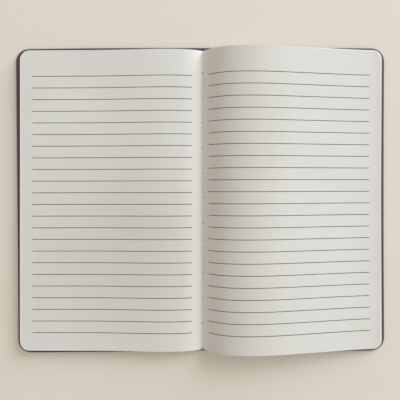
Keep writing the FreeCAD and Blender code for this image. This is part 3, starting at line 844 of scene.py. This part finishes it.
def make_ruled_lines(side, name, node_name, margin, ink):
    """Printed lines of one page: for each, a flat closed bar that follows the top page."""
    sizes = pages()
    leaf = Leaf(side)
    across = np.linspace(margin, leaf.length - sizes.fore_margin, LINE_STEPS)
    highest = sizes.first_line + side * sizes.line_offset
    middles = highest - sizes.line_pitch * np.arange(sizes.line_count)
    half = sizes.line_width / 2
    corner_y = np.array([-half, half, half, -half])
    corner_up = np.array([-1.0, -1.0, 1.0, 1.0]) * sizes.line_film
    y = middles[:, None, None] + corner_y
    points = leaf.place(across[None, :, None], y, 1.0)
    along = leaf.direction(across[None, :, None], y, 1.0)
    normal = np.stack([-along[..., 2] * side, 0 * along[..., 0], along[..., 0] * side], axis=-1)
    points = points + normal * corner_up[:, None]
    count = len(across)
    ring = grid_faces(count, 4, wrap=True)
    caps = np.array([[0, 1, 2, 3], [4 * count - 1, 4 * count - 2, 4 * count - 3, 4 * count - 4]])
    single = np.concatenate([ring, caps])
    starts = (np.arange(sizes.line_count) * 4 * count)[:, None, None]
    faces = (single[None] + starts).reshape(-1, 4)
    piece = mesh_object(name, points.reshape(-1, 3), faces, ink, smooth=False)
    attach(piece, BOOK)
    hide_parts(node_name)
    return piece


def panel_plan(side, inset, corner):
    """Grid of plan points over one half of the cover, from the middle of the spine to the fore
    edge, drawn in by inset: a rectangle whose outer corners are quarter circles."""
    reach = COVER_REACH - inset
    height = SPINE_HIGH[1] - SPINE_LOW[1]
    plain_rows, plain_columns, round_steps = COVER_GRID
    values = spread_to_corner(reach, corner - inset, plain_columns, round_steps)
    values = np.sort(np.concatenate([values, FOLD + np.linspace(*FOLD_COLUMNS)]))
    half = half_height(values, reach, corner - inset, height - 2 * inset)
    rows = np.linspace(-1.0, 1.0, plain_rows)
    x = np.broadcast_to(values, (plain_rows, len(values)))
    y = rows[:, None] * half
    return side * x, y


def lean_front(x, y):
    """Plan points of the front half after its turn: the fold stays, the fore edge turns and
    reaches a little farther at its head, in a straight line, and at its foot, by the square of
    the distance below the middle."""
    slope = (-COVER_HALF - LEAN_FOOT) / (COVER_REACH - FOLD)
    beyond = np.clip(-x - FOLD, 0.0, None)
    share = beyond / (COVER_REACH - FOLD)
    at_head = cover().front_out * (0.5 + y / (2 * COVER_HALF))
    at_foot = cover().front_foot_out * np.clip(-y / COVER_HALF, 0.0, None) ** 2
    out = share * (at_head + at_foot)
    return x - share * slope * (y - COVER_HALF) - out, y - beyond * slope


def make_cover_half(side, name, nodes, skin):
    """Half of the cover as one closed skin: flat inside, pressed crease outside along the fold,
    and a rim that is a round section carried round the outline. The plan is then adjusted. The
    foot is trimmed, more so at the spine by a bell curve. The front's head edge bows out by half
    a sine wave and the half leans. The back's fore edge moves out and bows, and its corners are
    drawn in by a power of the distance from the fold."""
    sizes = cover()
    thick = SPINE_HIGH[2]
    rim = sizes.rim
    angle = np.linspace(0.0, math.pi / 2, RIM_STEPS)
    low_inset = rim * (1.0 - np.sin(angle))
    low_z = rim * (1.0 - np.cos(angle))
    insets = np.concatenate([low_inset, low_inset[::-1]])
    heights = np.concatenate([low_z, thick - low_z[::-1]])
    rings = []
    for inset, z in zip(insets, heights):
        x, y = panel_plan(side, inset, sizes.corner)
        rings.append(np.stack([x, y, np.full_like(x, z)], axis=-1))
    wall = np.stack([edge_loop(ring) for ring in rings])
    bottom = rings[0].copy()
    near_fold = (np.abs(bottom[..., 0]) - FOLD) / sizes.crease_width
    from_edge = bottom[-1:, :, 1] - np.abs(bottom[..., 1])
    inside = np.clip(from_edge / CREASE_FADE, 0.0, 1.0)
    bottom[..., 2] += sizes.crease_depth * np.exp(-near_fold ** 2) * inside
    points, faces, mark = close_shell(bottom, rings[-1], wall)
    drawn_in = sizes.foot_trim + sizes.foot_dip * np.exp(-(points[:, 0] / sizes.dip_width) ** 2)
    points[:, 1] -= np.minimum(points[:, 1], 0.0) / COVER_HALF * drawn_in
    if side < 0:
        share = np.clip((-points[:, 0] - FOLD) / (COVER_REACH - FOLD), 0.0, 1.0)
        upward = np.maximum(points[:, 1], 0.0) / COVER_HALF
        points[:, 1] += sizes.head_bow * upward * np.sin(math.pi * share)
        points[:, 0], points[:, 1] = lean_front(points[:, 0], points[:, 1])
    else:
        beyond = np.clip((points[:, 0] - FOLD) / (COVER_REACH - FOLD), 0.0, None)
        upward = points[:, 1] / COVER_HALF
        drawn_in = np.where(upward > 0.0, sizes.back_head_in, sizes.back_foot_in)
        points[:, 0] += sizes.back_out * beyond + pages().bow * (beyond * upward) ** 2
        points[:, 1] -= drawn_in * upward * beyond ** CORNER_POWER
    piece = mesh_object(name, points, faces, skin, marks={"rim": mark})
    piece.data.set_sharp_from_angle(angle=math.radians(COVER_SHARP))
    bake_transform(piece)
    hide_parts(*nodes)
    return piece


def make_endpaper(side, name, node_name, paper):
    """Leaf glued inside one cover: a thin closed sheet with round outer corners."""
    low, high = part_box(node_name)
    inner = min(abs(low[0]), abs(high[0]))
    outer = max(abs(low[0]), abs(high[0]))
    corner = pages().corner
    plain_rows, plain_columns, round_steps = ENDPAPER_GRID
    values = inner + spread_to_corner(outer - inner, corner, plain_columns, round_steps)
    half = half_height(values - inner, outer - inner, corner, high[1] - low[1])
    rows = np.linspace(-1.0, 1.0, plain_rows)
    x = side * np.broadcast_to(values, (plain_rows, len(values)))
    y = rows[:, None] * half
    sheets = [np.stack([x, y, np.full_like(x, z)], axis=-1) for z in (low[2], high[2])]
    wall = np.stack([edge_loop(sheet) for sheet in sheets])
    points, faces = close_shell(*sheets, wall)[:2]
    piece = mesh_object(name, points, faces, paper, smooth=False)
    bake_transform(piece)
    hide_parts(node_name)
    return piece


def make_thread_piece():
    """Two strands twisted round each other. The thread's middle follows a row of low arches along
    the gutter and dips into the paper at each hole; each strand is a tube on a helix about it."""
    sizes = thread()
    gap = sizes.strand * STRAND_GAP
    foot = THREAD_LOW[1]
    y = np.linspace(foot, THREAD_HIGH[1], THREAD_STEPS)
    arch = np.abs(np.sin(math.pi * (y - foot) / hole_pitch())) ** ARCH_POWER
    middle_z = SEAT + pages().floor_rise - THREAD_DIP + ARCH_RISE * arch
    around = np.linspace(0.0, 2 * math.pi, TUBE_SIDES + 1)[:-1]
    turn = 2 * math.pi * y / sizes.twist
    parts = []
    for strand in (0.0, math.pi):
        centre_x = pages().gutter + gap * np.cos(turn + strand)
        centre_z = middle_z + gap * np.sin(turn + strand)
        x = centre_x[:, None] + sizes.strand * np.cos(around)
        z = centre_z[:, None] + sizes.strand * np.sin(around)
        tube = np.stack([x, np.broadcast_to(y[:, None], x.shape), z], axis=-1)
        parts.append((tube, grid_faces(len(y), TUBE_SIDES, wrap=True), 0.0))
    points, faces = join_parts(parts)[:2]
    piece = mesh_object("sewing_thread_twist", points, faces, cotton_material())
    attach(piece, BOOK)
    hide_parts("sewing_thread")
    return piece


def make_stage():
    """Table top, soft lamp at the upper right, even sky and the camera straight above."""
    sizes = stage()
    scene = bpy.context.scene
    signs = ((-1, -1), (1, -1), (1, 1), (-1, 1))
    corners = np.array([[FLOOR_HALF * x, FLOOR_HALF * y, FLOOR_LEVEL] for x, y in signs])
    floor = mesh_object("table_top", corners, [[0, 1, 2, 3]], floor_material(), smooth=False,
                        closed=False)
    lamp_data = bpy.data.lights.new("soft_lamp", "AREA")
    lamp_data.shape = "SQUARE"
    lamp_data.size = sizes.lamp_size
    lamp_data.energy = sizes.lamp_power
    lamp_data.color = sizes.lamp_tone
    lamp = bpy.data.objects.new("soft_lamp", lamp_data)
    level = sizes.lamp_distance * math.cos(sizes.lamp_rise)
    lamp.location = (level * math.cos(sizes.lamp_turn), level * math.sin(sizes.lamp_turn),
                     sizes.lamp_distance * math.sin(sizes.lamp_rise))
    lamp.rotation_euler = lamp.location.to_track_quat("Z", "Y").to_euler()
    scene.collection.objects.link(lamp)
    world = bpy.data.worlds.new("sky")
    world.use_nodes = True
    background = world.node_tree.nodes["Background"]
    background.inputs["Color"].default_value = rgba(sizes.sky_tone)
    background.inputs["Strength"].default_value = sizes.sky
    scene.world = world
    camera_data = bpy.data.cameras.new("camera")
    camera_data.sensor_fit = "HORIZONTAL"
    camera_data.sensor_width = SENSOR_WIDTH
    camera_data.lens = SENSOR_WIDTH * sizes.focal_pixels / sizes.pixels_across
    camera_data.shift_y = (sizes.nadir_pixel - sizes.pixels_across / 2) / sizes.pixels_across
    camera_data.clip_start = 0.01
    camera = bpy.data.objects.new("camera", camera_data)
    camera.location = (0.0, sizes.camera_up, sizes.camera_height)
    scene.collection.objects.link(camera)
    scene.camera = camera
    scene.view_settings.view_transform = "Standard"


class MakePages(bpy.types.Operator):
    """Builds the two stacks of leaves"""
    bl_idname = "notebook.make_pages"
    bl_label = "Pages"

    def execute(self, context):
        make_pages()
        return {"FINISHED"}


class MakeRuling(bpy.types.Operator):
    """Builds the printed lines of both pages"""
    bl_idname = "notebook.make_ruling"
    bl_label = "Ruled lines"

    def execute(self, context):
        sizes = pages()
        ink = ink_material()
        make_ruled_lines(-1, "left_ruled_lines", "left_ruling", sizes.left_margin, ink)
        make_ruled_lines(1, "right_ruled_lines", "right_ruling", sizes.right_margin, ink)
        return {"FINISHED"}


class MakeCover(bpy.types.Operator):
    """Builds the grained cover in two halves that meet in the middle of the spine"""
    bl_idname = "notebook.make_cover"
    bl_label = "Cover"

    def execute(self, context):
        skin = skin_material()
        make_cover_half(-1, "front_skin", ["front_cover", "spine_cover"], skin)
        make_cover_half(1, "back_skin", ["back_cover"], skin)
        return {"FINISHED"}


class MakeEndpapers(bpy.types.Operator):
    """Builds the leaves glued inside the covers and dresses the spine's lining"""
    bl_idname = "notebook.make_endpapers"
    bl_label = "Endpapers and lining"

    def execute(self, context):
        paper = endpaper_material()
        make_endpaper(-1, "front_pastedown", "front_endpaper", paper)
        make_endpaper(1, "back_pastedown", "back_endpaper", paper)
        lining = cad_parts["spine_lining"]
        lining.data.materials.clear()
        lining.data.materials.append(cloth_material())
        return {"FINISHED"}


class MakeThread(bpy.types.Operator):
    """Builds the twisted sewing thread in the gutter"""
    bl_idname = "notebook.make_thread"
    bl_label = "Sewing thread"

    def execute(self, context):
        make_thread_piece()
        return {"FINISHED"}


class MakeStage(bpy.types.Operator):
    """Builds the table top, the lamp, the sky and the camera"""
    bl_idname = "notebook.make_stage"
    bl_label = "Stage"

    def execute(self, context):
        make_stage()
        return {"FINISHED"}


class NotebookPanel(bpy.types.Panel):
    """Steps of the notebook, in order"""
    bl_idname = "VIEW3D_PT_notebook"
    bl_label = "Open lined notebook"
    bl_space_type = "VIEW_3D"
    bl_region_type = "UI"
    bl_category = "Notebook"

    def draw(self, context):
        """One button for each step."""
        for operator in OPERATORS:
            self.layout.operator(operator.bl_idname)


OPERATORS = (MakePages, MakeRuling, MakeCover, MakeEndpapers, MakeThread, MakeStage)
SETTINGS = (
    ("notebook_pages", PageSettings),
    ("notebook_cover", CoverSettings),
    ("notebook_thread", ThreadSettings),
    ("notebook_stage", StageSettings),
)


def register():
    """Adds the settings, the operators and the panel."""
    for name, group in SETTINGS:
        bpy.utils.register_class(group)
        setattr(bpy.types.Scene, name, PointerProperty(type=group))
    for item in OPERATORS + (NotebookPanel,):
        bpy.utils.register_class(item)


def unregister():
    """Takes them away again, last first."""
    for item in (NotebookPanel,) + OPERATORS[::-1]:
        bpy.utils.unregister_class(item)
    for name, group in SETTINGS[::-1]:
        delattr(bpy.types.Scene, name)
        bpy.utils.unregister_class(group)


def plain(box):
    """Box as plain lists of numbers."""
    return [[float(value) for value in corner] for corner in box]


def main():
    """Runs every step in order."""
    register()
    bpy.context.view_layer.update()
    bpy.ops.notebook.make_pages()
    bpy.ops.notebook.make_ruling()
    bpy.ops.notebook.make_cover()
    bpy.ops.notebook.make_endpapers()
    bpy.ops.notebook.make_thread()
    bpy.ops.notebook.make_stage()


if __name__ == "__main__":
    main()
